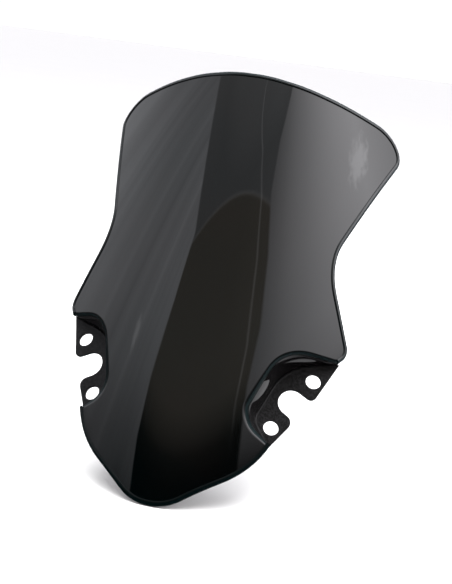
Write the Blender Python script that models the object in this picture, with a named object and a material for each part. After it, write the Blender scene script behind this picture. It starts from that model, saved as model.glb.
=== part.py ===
"""Motorcycle windshield screen: a convex smoke-tinted panel, edge trims and two recessed mounting ears.

The screen is drawn upright: X across, Y to the rear, Z up along the flat pads of the ears, with the
lowest point of the outline at Z = 0 and the foremost point of the panel at Y = 0. The whole screen then
leans back by RAKE on one empty, and stands with the bottom centre of its box at the world origin.
"""
import math

import bpy
from mathutils import Matrix, Vector
from mathutils.geometry import delaunay_2d_cdt

# Stock and fits (metres, and radians for angles)
SHEET = 0.003
GAP = 0.0003
RAKE = math.radians(40.0)

# Panel surface: an arc for the spine, and a hyperbola for every level section
SPINE_RADIUS = 1.040
SPINE_CREST_Z = 0.445
CROWN_RADIUS = 0.0985
FLANK_SLOPE = 1.64

# Outline of the right half, seen from the front: (x, z) corners, each with the radius that rounds it
ARCH_TOP = (0.1392, 0.1840)
ARCH_BOTTOM = (0.0965, 0.0821)
LIP_CORNER = ((0.1468, 0.1968), 0.018)
WAIST_CORNER = ((0.1143, 0.2691), 0.075)
LOBE_CORNER = ((0.1622, 0.4466), 0.025)
TOP_CENTRE = ((0.0, 0.4269), 0.610)
NOSE_FLANK_CORNER = ((0.0855, 0.0525), 0.114)
NOSE_TIP_CORNER = ((0.0172, -0.0029), 0.0466)

# Edge of the recess on the panel, between its upper and lower ends; the wall stops short of the trim
ARCH_HIGH_CORNER = ((0.0915, 0.1684), 0.048)
ARCH_LOW_CORNER = ((0.0693, 0.0948), 0.018)
WALL_TOP = (0.1340, 0.1823)
WALL_BOTTOM = (0.0915, 0.0844)

# Edge trim: a channel that grips the edge of the panel
TRIM_WIDTH = 0.0045
TRIM_LIP = 0.0009
TRIM_BACK_WALL = 0.0012
TRIM_CHAMFER = 0.0008

# Mounting ear: a flat pad; h runs outward in the pad and v up, from a point midway between the holes
PAD_ORIGIN = Vector((0.1186, 0.1212, 0.1323))
PAD_SPLAY = math.radians(14.0)
PAD_OUTWARD = Vector((math.cos(PAD_SPLAY), math.sin(PAD_SPLAY), 0.0))
PAD_FORWARD = Vector((math.sin(PAD_SPLAY), -math.cos(PAD_SPLAY), 0.0))
PAD_UP = Vector((0.0, 0.0, 1.0))
HOLE_DIAMETER = 0.015
UPPER_HOLE = (0.0, 0.0296)
LOWER_HOLE = (-0.0282, -0.0296)
FLANGE_WIDTH = 0.008

# Foot of the recess wall on the pad, from its upper end to its lower end
FOOT_TOP = (0.0150, 0.0503)
FOOT_HIGH_CORNER = ((-0.0301, 0.0342), 0.050)
FOOT_LOW_CORNER = ((-0.0469, -0.0271), 0.017)
FOOT_BOTTOM = (-0.0286, -0.0438)

# Free edge of the pad, from its upper end round the notch to its lower end; both ends lie under the trim
PAD_TOP = (0.0213, 0.0563)
PAD_BOTTOM = (-0.0264, -0.0510)
PAD_UPPER_CORNER = ((0.0045, 0.0078), 0.006)
NOTCH_UPPER_CORNER = ((-0.0224, 0.0193), 0.013)
NOTCH_LOWER_CORNER = ((-0.0318, -0.0057), 0.013)
PAD_LOWER_CORNER = ((-0.0083, -0.0167), 0.008)

# Fineness of the mesh
OUTLINE_STEP = 0.012
GRID_STEP = 0.014
GRID_MARGIN = 0.006
ARC_STEP = math.radians(14.0)
HOLE_SIDES = 24
SMOOTH_LIMIT = math.radians(35.0)

SMOKE_GLOSS = ((0.020, 0.020, 0.021), 0.08)
TRIM_TEAL = ((0.012, 0.022, 0.024), 0.25)
EAR_BLACK = ((0.018, 0.018, 0.019), 0.55)

LEFT = "left"
RIGHT = "right"


# ---- The panel surface ----

def surface_point(x, z):
    """Point of the panel's front face above (x, z)."""
    asymptote_offset = CROWN_RADIUS * FLANK_SLOPE
    spine = SPINE_RADIUS - math.sqrt(SPINE_RADIUS ** 2 - (z - SPINE_CREST_Z) ** 2)
    section = FLANK_SLOPE * (math.hypot(x, asymptote_offset) - asymptote_offset)
    return Vector((x, spine + section, z))


def surface_normal(x, z):
    """Unit normal of the panel's front face, pointing forward."""
    slope_x = FLANK_SLOPE * x / math.hypot(x, CROWN_RADIUS * FLANK_SLOPE)
    rise = z - SPINE_CREST_Z
    slope_z = rise / math.sqrt(SPINE_RADIUS ** 2 - rise ** 2)
    return Vector((slope_x, -1.0, slope_z)).normalized()


def behind_surface(x, z, depth):
    """Point behind the front face by depth, along the surface's normal."""
    return surface_point(x, z) - depth * surface_normal(x, z)


# ---- Outlines in a plane ----

def arc_between(corner, radius, before, after):
    """Points of the arc that rounds one corner of an outline."""
    inward = (before - corner).normalized()
    onward = (after - corner).normalized()
    half_angle = 0.5 * inward.angle(onward)
    centre = corner + (inward + onward).normalized() * (radius / math.sin(half_angle))
    tangent_length = radius / math.tan(half_angle)
    start = corner + inward * tangent_length - centre
    end = corner + onward * tangent_length - centre
    sweep = start.angle_signed(end)
    steps = max(2, math.ceil(abs(sweep) / ARC_STEP))
    points = []
    for step in range(steps + 1):
        turned = start.copy()
        turned.rotate(Matrix.Rotation(-sweep * step / steps, 2))
        points.append(centre + turned)
    return points


def rounded_path(corners):
    """Open path through (point, radius) corners; a radius of zero keeps a point as it is."""
    places = [Vector(point) for point, _ in corners]
    path = []
    for index, (_, radius) in enumerate(corners):
        if radius == 0.0:
            path.append(places[index])
        else:
            path += arc_between(places[index], radius, places[index - 1], places[index + 1])
    return path


def subdivided(path, longest):
    """The same path with no stretch longer than longest."""
    points = [path[0]]
    for start, end in zip(path, path[1:]):
        steps = max(1, math.ceil((end - start).length / longest))
        points += [start.lerp(end, step / steps) for step in range(1, steps + 1)]
    return points


def without_repeats(path):
    """The path without points that fall on the one before."""
    kept = [path[0]]
    for point in path[1:]:
        if (point - kept[-1]).length > GAP:
            kept.append(point)
    return kept


def mirrored(corners):
    """The same corners on the left side, in the opposite order."""
    return [((-point[0], point[1]), radius) for point, radius in reversed(corners)]


def upper_outline():
    """Outline from the right ear over the top to the left ear."""
    right_half = [(ARCH_TOP, 0.0), LIP_CORNER, WAIST_CORNER, LOBE_CORNER]
    path = rounded_path(right_half + [TOP_CENTRE] + mirrored(right_half))
    return subdivided(without_repeats(path), OUTLINE_STEP)


def lower_outline():
    """Outline from the left ear round the nose to the right ear."""
    right_half = [NOSE_TIP_CORNER, NOSE_FLANK_CORNER, (ARCH_BOTTOM, 0.0)]
    path = rounded_path(mirrored(right_half) + right_half)
    return subdivided(without_repeats(path), OUTLINE_STEP)


def path_fractions(path):
    """How far along the path each point lies, from 0 to 1."""
    distances = [0.0]
    for start, end in zip(path, path[1:]):
        distances.append(distances[-1] + (end - start).length)
    return [distance / distances[-1] for distance in distances]


def resampled_like(model, path):
    """Points of path at the fractions of its length where model has its points."""
    own = path_fractions(path)
    points = []
    for fraction in path_fractions(model):
        index = 0
        while index < len(own) - 2 and own[index + 1] < fraction:
            index += 1
        share = (fraction - own[index]) / (own[index + 1] - own[index])
        points.append(path[index].lerp(path[index + 1], min(max(share, 0.0), 1.0)))
    return points


# ---- Filling and building meshes ----

def is_inside(point, outline):
    """Whether a flat point lies inside a closed outline."""
    inside = False
    for start, end in zip(outline, outline[1:] + outline[:1]):
        if (start.y > point.y) != (end.y > point.y):
            crossing = start.x + (point.y - start.y) * (end.x - start.x) / (end.y - start.y)
            inside ^= point.x < crossing
    return inside


def fill_region(outer, holes, inner_points):
    """Triangles of a flat region, as indices into outer + holes + inner_points."""
    points = list(outer)
    edges = [(index, (index + 1) % len(outer)) for index in range(len(outer))]
    for hole in holes:
        first = len(points)
        edges += [(first + index, first + (index + 1) % len(hole)) for index in range(len(hole))]
        points += hole
    points += inner_points
    whole_hull = 0
    smallest = 1e-7
    places, _, triangles, origins, _, _ = delaunay_2d_cdt(points, edges, [], whole_hull, smallest, True)
    kept = []
    for triangle in triangles:
        middle = sum((places[corner] for corner in triangle), Vector((0.0, 0.0))) / len(triangle)
        if is_inside(middle, outer) and not any(is_inside(middle, hole) for hole in holes):
            kept.append(tuple(origins[corner][0] for corner in triangle))
    return kept


def make_material(name, colour, roughness):
    material = bpy.data.materials.new(name)
    material.use_nodes = True
    shader = material.node_tree.nodes["Principled BSDF"]
    shader.inputs["Base Color"].default_value = (*colour, 1.0)
    shader.inputs["Roughness"].default_value = roughness
    shader.inputs["Metallic"].default_value = 0.0
    return material


def make_object(name, points, faces, finish, root, side=RIGHT):
    """One named object; side LEFT mirrors the points and turns the faces over."""
    if side == LEFT:
        points = [Vector((-point.x, point.y, point.z)) for point in points]
        faces = [tuple(reversed(face)) for face in faces]
    mesh = bpy.data.meshes.new(name)
    mesh.from_pydata([tuple(point) for point in points], [], faces)
    mesh.shade_smooth()
    mesh.set_sharp_from_angle(angle=SMOOTH_LIMIT)
    mesh.materials.append(make_material(name, *finish))
    node = bpy.data.objects.new(name, mesh)
    bpy.context.collection.objects.link(node)
    node.parent = root
    return node


# ---- Panel ----

def edge_frames(path):
    """For each point of an outline: the point on the surface, the way in from the edge, the normal."""
    places = [surface_point(*point) for point in path]
    frames = []
    for index, place in enumerate(places):
        before = places[max(index - 1, 0)]
        after = places[min(index + 1, len(places) - 1)]
        normal = surface_normal(*path[index])
        inward = normal.cross(after - before).normalized()
        frames.append((place, inward, normal))
    return frames


def inset_path(path, distance):
    """The outline moved in over the surface by distance, as (x, z) points."""
    moved = [place + distance * inward for place, inward, _ in edge_frames(path)]
    return [Vector((place.x, place.z)) for place in moved]


def arch_path(top, bottom):
    """Edge of the right recess on the panel, from top to bottom."""
    corners = [(top, 0.0), ARCH_HIGH_CORNER, ARCH_LOW_CORNER, (bottom, 0.0)]
    return subdivided(without_repeats(rounded_path(corners)), OUTLINE_STEP)


def panel_boundary():
    """The panel's edge, anticlockwise from the front: nose, right arch, top, left arch."""
    edge_inset = TRIM_BACK_WALL + GAP
    right_arch = list(reversed(arch_path(ARCH_TOP, ARCH_BOTTOM)[1:-1]))
    left_arch = [Vector((-point.x, point.y)) for point in reversed(right_arch)]
    lower = inset_path(lower_outline(), edge_inset)
    upper = inset_path(upper_outline(), edge_inset)
    return lower + right_arch + upper + left_arch


def grid_points(outline):
    """A regular grid of points inside the outline, clear of its edge."""
    columns = math.ceil(max(point.x for point in outline) / GRID_STEP)
    rows = math.ceil(max(point.y for point in outline) / GRID_STEP)
    places = [Vector((column * GRID_STEP, row * GRID_STEP))
              for row in range(rows + 1) for column in range(-columns, columns + 1)]
    return [place for place in places if is_inside(place, outline)
            and min((place - edge).length for edge in outline) > GRID_MARGIN]


def build_panel(root):
    boundary = panel_boundary()
    inner = grid_points(boundary)
    plan = boundary + inner
    count = len(plan)
    points = [surface_point(*place) for place in plan]
    points += [behind_surface(*place, SHEET) for place in plan]
    front = fill_region(boundary, [], inner)
    faces = list(front)
    faces += [tuple(count + corner for corner in reversed(triangle)) for triangle in front]
    for index in range(len(boundary)):
        following = (index + 1) % len(boundary)
        faces.append((index, count + index, count + following, following))
    return make_object("screen_panel", points, faces, SMOKE_GLOSS, root)


# ---- Edge trims ----

def trim_profile():
    """Section of the trim as (in from the edge, forward of the panel's front face)."""
    front_slot = GAP
    rear_slot = -SHEET - GAP
    front_face = front_slot + TRIM_LIP
    rear_face = rear_slot - TRIM_LIP
    return [
        (0.0, rear_face + TRIM_CHAMFER),
        (0.0, front_face - TRIM_CHAMFER),
        (TRIM_CHAMFER, front_face),
        (TRIM_WIDTH, front_face),
        (TRIM_WIDTH, front_slot),
        (TRIM_BACK_WALL, front_slot),
        (TRIM_BACK_WALL, rear_slot),
        (TRIM_WIDTH, rear_slot),
        (TRIM_WIDTH, rear_face),
        (TRIM_CHAMFER, rear_face),
    ]


def build_trim(name, path, root):
    """A channel swept along an outline, closed at both ends."""
    profile = trim_profile()
    sides = len(profile)
    points = []
    for place, inward, normal in edge_frames(path):
        points += [place + reach * inward + forward * normal for reach, forward in profile]
    faces = [tuple(range(sides))]
    for station in range(len(path) - 1):
        first = station * sides
        for side in range(sides):
            following = (side + 1) % sides
            faces.append((first + following, first + side,
                          first + sides + side, first + sides + following))
    last = (len(path) - 1) * sides
    faces.append(tuple(reversed(range(last, last + sides))))
    return make_object(name, points, faces, TRIM_TEAL, root)


# ---- Mounting ears ----

def pad_point(place, depth=0.0):
    """Point of the right pad at (h, v), behind its front face by depth."""
    return PAD_ORIGIN + place[0] * PAD_OUTWARD + place[1] * PAD_UP - depth * PAD_FORWARD


def pad_plan(point):
    """(h, v) of a point on the right pad."""
    offset = point - PAD_ORIGIN
    return Vector((offset.dot(PAD_OUTWARD), offset.dot(PAD_UP)))


def pad_free_edge():
    """The pad's edge from its lower end round the notch to its upper end."""
    corners = [(PAD_TOP, 0.0), PAD_UPPER_CORNER, NOTCH_UPPER_CORNER,
               NOTCH_LOWER_CORNER, PAD_LOWER_CORNER, (PAD_BOTTOM, 0.0)]
    return list(reversed(without_repeats(rounded_path(corners))))


def foot_path():
    """Foot of the recess wall on the pad, from its upper end to its lower end."""
    corners = [(FOOT_TOP, 0.0), FOOT_HIGH_CORNER, FOOT_LOW_CORNER, (FOOT_BOTTOM, 0.0)]
    return subdivided(without_repeats(rounded_path(corners)), OUTLINE_STEP)


def hole_outline(centre):
    """A round hole's outline in the pad."""
    radius = 0.5 * HOLE_DIAMETER
    turns = [math.tau * side / HOLE_SIDES for side in range(HOLE_SIDES)]
    return [Vector((centre[0] + radius * math.cos(turn), centre[1] + radius * math.sin(turn)))
            for turn in turns]


def mitred(first, second):
    """The offset that keeps one sheet thickness from two faces with these unit normals."""
    return SHEET * (first + second) / (1.0 + first.dot(second))


def wall_section(foot, arch, index):
    """Section of the recess wall and its flange, from the pad's front face round to its rear face."""
    before = max(index - 1, 0)
    after = min(index + 1, len(foot) - 1)
    glue_depth = SHEET + GAP
    base = pad_point(foot[index])
    top = behind_surface(*arch[index], glue_depth)
    foot_along = pad_point(foot[after]) - pad_point(foot[before])
    wall_outward = foot_along.cross(top - base).normalized()
    arch_along = surface_point(*arch[after]) - surface_point(*arch[before])
    normal = surface_normal(*arch[index])
    rim = surface_point(*arch[index]) + FLANGE_WIDTH * arch_along.cross(normal).normalized()
    return [
        base,
        top,
        behind_surface(rim.x, rim.z, glue_depth),
        behind_surface(rim.x, rim.z, glue_depth + SHEET),
        top + mitred(wall_outward, -normal),
        base + mitred(wall_outward, -PAD_FORWARD),
    ]


def numbered(points, added):
    """Appends points to the list and returns their numbers."""
    first = len(points)
    points += added
    return list(range(first, len(points)))


def strip_faces(near, far):
    """Faces between two neighbouring sections, each listed from the front round to the rear."""
    return [(near[side], near[side + 1], far[side + 1], far[side]) for side in range(len(near) - 1)]


def build_ear(name, side, root):
    """Flat pad with two holes and a notch, recess wall, and the flange glued behind the panel."""
    points = []
    foot = foot_path()
    arch = resampled_like(foot, arch_path(WALL_TOP, WALL_BOTTOM))
    walls = [numbered(points, wall_section(foot, arch, index)) for index in range(len(foot))]
    edge = [numbered(points, [pad_point(place), pad_point(place, SHEET)]) for place in pad_free_edge()]
    lower_corner = numbered(points, [points[walls[-1][-1]] + SHEET * PAD_FORWARD])[0]
    upper_corner = numbered(points, [points[walls[0][-1]] + SHEET * PAD_FORWARD])[0]
    edge.insert(0, [lower_corner, walls[-1][-1]])
    edge.append([upper_corner, walls[0][-1]])

    faces = [(*reversed(walls[0]), upper_corner), (*walls[-1], lower_corner)]
    for sections in (walls, edge):
        for near, far in zip(sections, sections[1:]):
            faces += strip_faces(near, far)

    holes = []
    for centre in (UPPER_HOLE, LOWER_HOLE):
        outline = hole_outline(centre)
        front = numbered(points, [pad_point(place) for place in outline])
        rear = numbered(points, [pad_point(place, SHEET) for place in outline])
        holes.append((front, rear))
        ring = list(zip(rear, front))
        for near, far in zip(ring, ring[1:] + ring[:1]):
            faces += strip_faces(near, far)

    front_loop = [section[0] for section in walls + edge]
    rear_loop = [section[-1] for section in walls + edge[1:-1]]
    faces += fill_pad(points, front_loop, [front for front, _ in holes])
    faces += [tuple(reversed(face)) for face in fill_pad(points, rear_loop, [rear for _, rear in holes])]
    return make_object(name, points, faces, EAR_BLACK, root, side)


def fill_pad(points, loop, holes):
    """Triangles of one face of the pad, anticlockwise from the front."""
    numbers = loop + [corner for hole in holes for corner in hole]
    plans = [pad_plan(points[corner]) for corner in numbers]
    outer = plans[:len(loop)]
    hole_plans = []
    used = len(loop)
    for hole in holes:
        hole_plans.append(plans[used:used + len(hole)])
        used += len(hole)
    triangles = fill_region(outer, hole_plans, [])
    return [tuple(numbers[corner] for corner in triangle) for triangle in triangles]


# ---- Assembly ----

def lean_back(root):
    """Leans the screen back and stands the bottom centre of its box at the world origin."""
    root.rotation_euler = (-RAKE, 0.0, 0.0)
    bpy.context.view_layer.update()
    places = [node.matrix_world @ vertex.co for node in root.children for vertex in node.data.vertices]
    lowest = min(place.z for place in places)
    middle = 0.5 * (min(place.y for place in places) + max(place.y for place in places))
    root.location = (0.0, -middle, -lowest)


def main():
    for old in list(bpy.data.objects):
        bpy.data.objects.remove(old, do_unlink=True)
    root = bpy.data.objects.new("screen_root", None)
    bpy.context.collection.objects.link(root)
    build_panel(root)
    build_trim("upper_edge_trim", upper_outline(), root)
    build_trim("lower_edge_trim", lower_outline(), root)
    build_ear("left_mount_ear", LEFT, root)
    build_ear("right_mount_ear", RIGHT, root)
    lean_back(root)


main()
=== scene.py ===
"""Looks of the motorcycle windshield screen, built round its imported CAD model.

The pieces are drawn upright, as in the CAD source: X across, Y to the rear, Z up along the flat pads of
the ears. One turn and one shift then lean them back into the frame of the CAD model.
"""
import math

import bpy
import numpy as np
from mathutils import Matrix, Vector
from mathutils.geometry import delaunay_2d_cdt
from mathutils.kdtree import KDTree


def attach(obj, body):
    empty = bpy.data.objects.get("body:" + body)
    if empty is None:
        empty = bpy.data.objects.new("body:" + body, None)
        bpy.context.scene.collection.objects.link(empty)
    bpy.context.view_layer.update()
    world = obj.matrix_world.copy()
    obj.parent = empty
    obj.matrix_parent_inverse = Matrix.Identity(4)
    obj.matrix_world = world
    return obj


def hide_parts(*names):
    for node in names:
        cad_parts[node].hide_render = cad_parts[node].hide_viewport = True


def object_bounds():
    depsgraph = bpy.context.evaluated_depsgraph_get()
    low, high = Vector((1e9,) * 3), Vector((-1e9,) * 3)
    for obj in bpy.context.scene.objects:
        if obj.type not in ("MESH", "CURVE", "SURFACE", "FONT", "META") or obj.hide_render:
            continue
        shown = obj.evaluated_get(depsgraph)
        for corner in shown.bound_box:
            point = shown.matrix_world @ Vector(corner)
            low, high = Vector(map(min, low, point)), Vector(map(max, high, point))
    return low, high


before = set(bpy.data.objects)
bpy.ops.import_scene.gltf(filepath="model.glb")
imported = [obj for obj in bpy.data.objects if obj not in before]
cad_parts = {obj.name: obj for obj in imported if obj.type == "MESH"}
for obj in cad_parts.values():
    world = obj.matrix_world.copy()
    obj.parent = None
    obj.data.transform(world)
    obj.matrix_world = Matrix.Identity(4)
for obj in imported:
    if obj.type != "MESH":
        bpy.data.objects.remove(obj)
cad_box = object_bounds()

# Frame: how the drawing leans back and where its origin lies in the CAD frame (metres and radians)
RAKE = math.radians(40.0)
DRAWING_ORIGIN = Vector((0.0, -0.213586, 0.068247))

# Stock, and the panel surface: an arc for the spine, and a hyperbola for every level section
SHEET = 0.003
GAP = 0.0003
SPINE_RADIUS = 1.040
SPINE_CREST_Z = 0.445
CROWN_RADIUS = 0.0985
FLANK_SLOPE = 1.64

# Outline of the right half, seen from the front: (x, z) corners, each with the radius that rounds it
ARCH_TOP = (0.1392, 0.1840)
ARCH_BOTTOM = (0.0965, 0.0821)
LIP_CORNER = ((0.1468, 0.1968), 0.018)
WAIST_CORNER = ((0.1143, 0.2691), 0.075)
LOBE_CORNER = ((0.1622, 0.4466), 0.025)
TOP_CENTRE = ((0.0, 0.4269), 0.610)
NOSE_FLANK_CORNER = ((0.0855, 0.0525), 0.114)
NOSE_TIP_CORNER = ((0.0172, -0.0029), 0.0466)
ARCH_HIGH_CORNER = ((0.0915, 0.1684), 0.048)
ARCH_LOW_CORNER = ((0.0693, 0.0948), 0.018)

# Edge bead over the panel's free edge
BEAD_WIDTH = 0.0054
BEAD_RISE = 0.0012
BEAD_BACK_WALL = 0.0012
BEAD_CROWN_IN = 0.0036
BEAD_CROWN_DOWN = 0.0028
BEAD_REAR_ROUND = 0.0014
BEAD_REST = 0.00005

# Mounting ear: h runs outward in the pad and v up, from a point midway between the holes
PAD_ORIGIN = Vector((0.1186, 0.1212, 0.1323))
PAD_SPLAY = math.radians(14.0)
PAD_OUTWARD = Vector((math.cos(PAD_SPLAY), math.sin(PAD_SPLAY), 0.0))
PAD_FORWARD = Vector((math.sin(PAD_SPLAY), -math.cos(PAD_SPLAY), 0.0))
PAD_UP = Vector((0.0, 0.0, 1.0))
HOLE_RADIUS = 0.0075
UPPER_HOLE = (0.0, 0.0296)
LOWER_HOLE = (-0.0282, -0.0296)
FLANGE_WIDTH = 0.008
FOOT_TOP = (0.0199, 0.0544)
FOOT_HIGH_CORNER = ((-0.0301, 0.0342), 0.050)
FOOT_LOW_CORNER = ((-0.0469, -0.0271), 0.017)
FOOT_BOTTOM = (-0.0266, -0.0494)
PAD_TOP = (0.0213, 0.0563)
PAD_BOTTOM = (-0.0264, -0.0510)
PAD_UPPER_CORNER = ((0.0045, 0.0078), 0.006)
NOTCH_UPPER_CORNER = ((-0.0224, 0.0193), 0.013)
NOTCH_LOWER_CORNER = ((-0.0318, -0.0057), 0.013)
PAD_LOWER_CORNER = ((-0.0083, -0.0167), 0.008)
# The fillet at the wall's foot shrinks over FILLET_TAPER at both ends of the wall to SMALLEST_FILLET of its
# radius, and reaches at most about LARGEST_FILLET of the way up the wall
FOOT_FILLET = 0.0028
FILLET_TAPER = 0.012
SMALLEST_FILLET = 0.12
LARGEST_FILLET = 0.45
TRIM_CLEARANCE = 0.0012
WALL_BULGE = 0.0011
WALL_STEPS = 6
PAD_EDGE_ROUND = 0.0006
HOLE_EDGE_ROUND = 0.0004

# Rounds on the sheet's edge round the recesses
FRONT_ROUND_IN = 0.0036
FRONT_ROUND_DOWN = 0.0024
RECESS_ROUND_IN = 0.0078
RECESS_ROUND_SKEW = 0.55
REAR_ROUND = 0.0005

# Fineness of the meshes
ARC_STEP = math.radians(4.0)
EDGE_STEP = 0.0020
GRID_STEP = 0.0045
GRID_MARGIN = 0.0016
RING_TOLERANCE = 0.985
HOLE_SIDES = 64
FINE_SECTION = 400
FINER_EDGE = 12
ROUND_STEPS = 4
PAD_ROUND_STEPS = 2
BEAD_STEPS = 5
SMOOTH_LIMIT = math.radians(40.0)

LEFT = "left"
RIGHT = "right"
ZONE_WEIGHT = 0.99
FLAT_SHADING_WEIGHT = 90


# ---- The panel surface ----

def surface_points(plan):
    """Points of the panel's front face above an array of (x, z)."""
    x, z = plan[:, 0], plan[:, 1]
    asymptote_offset = CROWN_RADIUS * FLANK_SLOPE
    spine = SPINE_RADIUS - np.sqrt(SPINE_RADIUS ** 2 - (z - SPINE_CREST_Z) ** 2)
    section = FLANK_SLOPE * (np.hypot(x, asymptote_offset) - asymptote_offset)
    return np.column_stack([x, spine + section, z])


def surface_normals(plan):
    """Unit normals of the panel's front face, pointing forward."""
    x, z = plan[:, 0], plan[:, 1]
    slope_x = FLANK_SLOPE * x / np.hypot(x, CROWN_RADIUS * FLANK_SLOPE)
    rise = z - SPINE_CREST_Z
    slope_z = rise / np.sqrt(SPINE_RADIUS ** 2 - rise ** 2)
    normals = np.column_stack([slope_x, -np.ones(len(plan)), slope_z])
    return unit_rows(normals)


def unit_rows(rows):
    return rows / np.linalg.norm(rows, axis=1, keepdims=True)


# ---- Outlines in a plane ----

def arc_between(corner, radius, before, after):
    """Points of the arc that rounds one corner of an outline."""
    inward = (before - corner).normalized()
    onward = (after - corner).normalized()
    half_angle = 0.5 * inward.angle(onward)
    centre = corner + (inward + onward).normalized() * (radius / math.sin(half_angle))
    tangent_length = radius / math.tan(half_angle)
    start = corner + inward * tangent_length - centre
    end = corner + onward * tangent_length - centre
    sweep = start.angle_signed(end)
    steps = max(2, math.ceil(abs(sweep) / ARC_STEP))
    points = []
    for step in range(steps + 1):
        turned = start.copy()
        turned.rotate(Matrix.Rotation(-sweep * step / steps, 2))
        points.append(centre + turned)
    return points


def rounded_path(corners):
    """Open path through (point, radius) corners; a radius of zero keeps a point as it is."""
    places = [Vector(point) for point, _ in corners]
    path = []
    for index, (_, radius) in enumerate(corners):
        if radius == 0.0:
            path.append(places[index])
        else:
            path += arc_between(places[index], radius, places[index - 1], places[index + 1])
    return np.array([tuple(point) for point in path])


def resampled(path, count):
    """The path as count points at even distances along it."""
    lengths = np.linalg.norm(np.diff(path, axis=0), axis=1)
    along = np.concatenate([[0.0], np.cumsum(lengths)])
    wanted = np.linspace(0.0, along[-1], count)
    return np.column_stack([np.interp(wanted, along, path[:, axis]) for axis in range(path.shape[1])])


def even_path(corners, step):
    """A rounded path resampled at about the given step."""
    path = rounded_path(corners)
    length = np.linalg.norm(np.diff(path, axis=0), axis=1).sum()
    return resampled(path, max(2, math.ceil(length / step) + 1))


def mirrored(corners):
    """The same corners on the left side, in the opposite order."""
    return [((-point[0], point[1]), radius) for point, radius in reversed(corners)]


def upper_outline():
    """Outline from the right ear over the top to the left ear."""
    right_half = [(ARCH_TOP, 0.0), LIP_CORNER, WAIST_CORNER, LOBE_CORNER]
    return even_path(right_half + [TOP_CENTRE] + mirrored(right_half), EDGE_STEP)


def lower_outline():
    """Outline from the left ear round the nose to the right ear."""
    right_half = [NOSE_TIP_CORNER, NOSE_FLANK_CORNER, (ARCH_BOTTOM, 0.0)]
    return even_path(mirrored(right_half) + right_half, EDGE_STEP)


def arch_path():
    """Edge of the right recess on the panel, from top to bottom."""
    return even_path([(ARCH_TOP, 0.0), ARCH_HIGH_CORNER, ARCH_LOW_CORNER, (ARCH_BOTTOM, 0.0)], EDGE_STEP)


def edge_frames(plan, closed):
    """Points of an outline on the surface, the way in from the edge, and the surface normals."""
    places = surface_points(plan)
    normals = surface_normals(plan)
    if closed:
        along = np.roll(places, -1, axis=0) - np.roll(places, 1, axis=0)
    else:
        along = np.gradient(places, axis=0)
    inward = unit_rows(np.cross(normals, along))
    return places, inward, normals


def inset_plan(plan, distance, closed=False):
    """The outline moved in over the surface by distance, as (x, z) points."""
    places, inward, _ = edge_frames(plan, closed)
    return (places + distance * inward)[:, [0, 2]]


def inside_outline(points, outline):
    """For each flat point, whether it lies inside a closed outline."""
    inside = np.zeros(len(points), bool)
    for start, end in zip(outline, np.roll(outline, -1, axis=0)):
        crosses = (start[1] > points[:, 1]) != (end[1] > points[:, 1])
        rise = end[1] - start[1]
        if rise != 0.0:
            crossing = start[0] + (points[:, 1] - start[1]) * (end[0] - start[0]) / rise
            inside ^= crosses & (points[:, 0] < crossing)
    return inside


def fill_region(outer, holes, inner_points):
    """Triangles of a flat region, as indices into outer + holes + inner_points."""
    loops = [outer] + holes
    edges = []
    first = 0
    for loop in loops:
        edges += [(first + index, first + (index + 1) % len(loop)) for index in range(len(loop))]
        first += len(loop)
    points = np.vstack(loops + [inner_points])
    whole_hull = 0
    smallest = 1e-7
    places, _, triangles, origins, _, _ = delaunay_2d_cdt(
        [Vector(point) for point in points], edges, [], whole_hull, smallest, True)
    places = np.array([tuple(place) for place in places])
    triangles = np.array(triangles)
    middles = places[triangles].mean(axis=1)
    kept = inside_outline(middles, outer)
    for hole in holes:
        kept &= ~inside_outline(middles, hole)
    numbers = np.array([origin[0] for origin in origins])
    return [tuple(int(corner) for corner in triangle) for triangle in numbers[triangles[kept]]]


# ---- Building pieces ----

def leaned_back():
    """From the upright drawing to the frame of the CAD model."""
    return Matrix.Translation(DRAWING_ORIGIN) @ Matrix.Rotation(-RAKE, 4, "X")


def make_piece(name, points, faces, side=RIGHT, normals=None, masks=None, zones=()):
    """A mesh piece in the CAD frame; side LEFT mirrors it. masks are named weights for each point.

    Each zone is a weight for each point too: a face that lies wholly in the first zone takes the second
    material, one that lies wholly in the second zone takes the third."""
    points = np.array([tuple(point) for point in points])
    if side == LEFT:
        points = points * (-1.0, 1.0, 1.0)
        faces = [tuple(reversed(face)) for face in faces]
    mesh = bpy.data.meshes.new(name)
    mesh.from_pydata(points.tolist(), [], faces)
    for mask_name, weights in (masks or {}).items():
        layer = mesh.attributes.new(mask_name, "FLOAT", "POINT")
        layer.data.foreach_set("value", np.array(weights, np.float32))
    material_numbers = np.zeros(len(faces), np.int32)
    for number, zone in enumerate(zones, start=1):
        inside = [min(zone[corner] for corner in face) > ZONE_WEIGHT for face in faces]
        material_numbers[np.array(inside)] = number
    mesh.polygons.foreach_set("material_index", material_numbers)
    mesh.shade_smooth()
    if normals is None:
        mesh.set_sharp_from_angle(angle=SMOOTH_LIMIT)
    mesh.transform(leaned_back())
    if normals is not None:
        turn = np.array(leaned_back().to_3x3())
        mesh.normals_split_custom_set_from_vertices((normals @ turn.T).tolist())
    piece = bpy.data.objects.new(name, mesh)
    bpy.context.scene.collection.objects.link(piece)
    return piece


def round_section(steps):
    """(share of the round in from the edge, share of the round down) of a quarter round, edge first."""
    angles = np.linspace(0.0, 0.5 * math.pi, steps + 1)
    return [(1.0 - math.cos(angle), 1.0 - math.sin(angle)) for angle in angles]


# ---- Panel ----

def recess_round(count):
    """Widths of the front round along a recess from its lower end: widest just above its lower corner."""
    share = np.linspace(0.0, 1.0, count)
    swell = np.sin(math.pi * share ** RECESS_ROUND_SKEW) ** 2
    return FRONT_ROUND_IN + (RECESS_ROUND_IN - FRONT_ROUND_IN) * swell


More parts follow.
